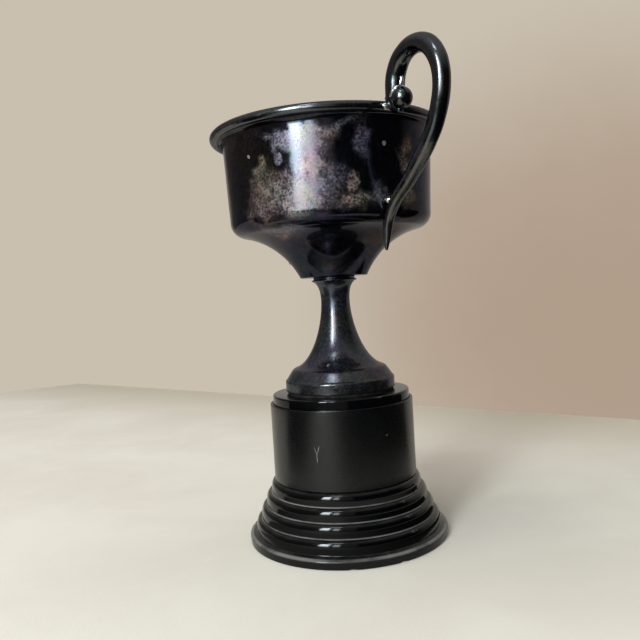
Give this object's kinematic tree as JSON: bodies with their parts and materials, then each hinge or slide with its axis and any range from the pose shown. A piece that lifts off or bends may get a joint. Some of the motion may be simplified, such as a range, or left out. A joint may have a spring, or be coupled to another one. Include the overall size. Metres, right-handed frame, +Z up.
{
  "type": "cup trophy",
  "caption": "Handled metal trophy cup with a rolled rim and scroll handles, on a trumpet stem bolted to a round stepped plinth.",
  "frame": {"origin": "on the cup's axis, at the underside of the plinth", "axes": "+Z up along the cup's axis, +X towards the right handle, and +Y across the handles"},
  "size_m": [0.1634, 0.1018, 0.1976],
  "materials": {
    "tarnished_plate": "silver plate gone nearly black, with cloudy lilac and tan patches",
    "dark_pewter": "tarnished plate, worn back to grey where it is handled",
    "bright_solder": "satin bright solder",
    "black_moulding": "gloss",
    "satin_black": "satin",
    "black_fibre": "matte",
    "plain_steel": "satin"
  },
  "bodies": {
    "root": {"bowl": "tarnished_plate", "pedestal": "tarnished_plate", "rim_bead": "dark_pewter", "bowl_collar": "dark_pewter", "handle_right": "dark_pewter", "handle_left": "dark_pewter", "handle_ball_right": "dark_pewter", "handle_ball_left": "dark_pewter", "rim_solder_right": "bright_solder", "rim_solder_left": "bright_solder", "tail_solder_right": "bright_solder", "tail_solder_left": "bright_solder", "plinth_body": "black_moulding", "plinth_sleeve": "satin_black", "foot_gasket": "black_fibre", "foot_plate": "plain_steel", "tie_stud": "plain_steel", "plinth_washer": "plain_steel", "lock_washer": "plain_steel", "plinth_nut": "plain_steel"}
  },
  "joints": []
}
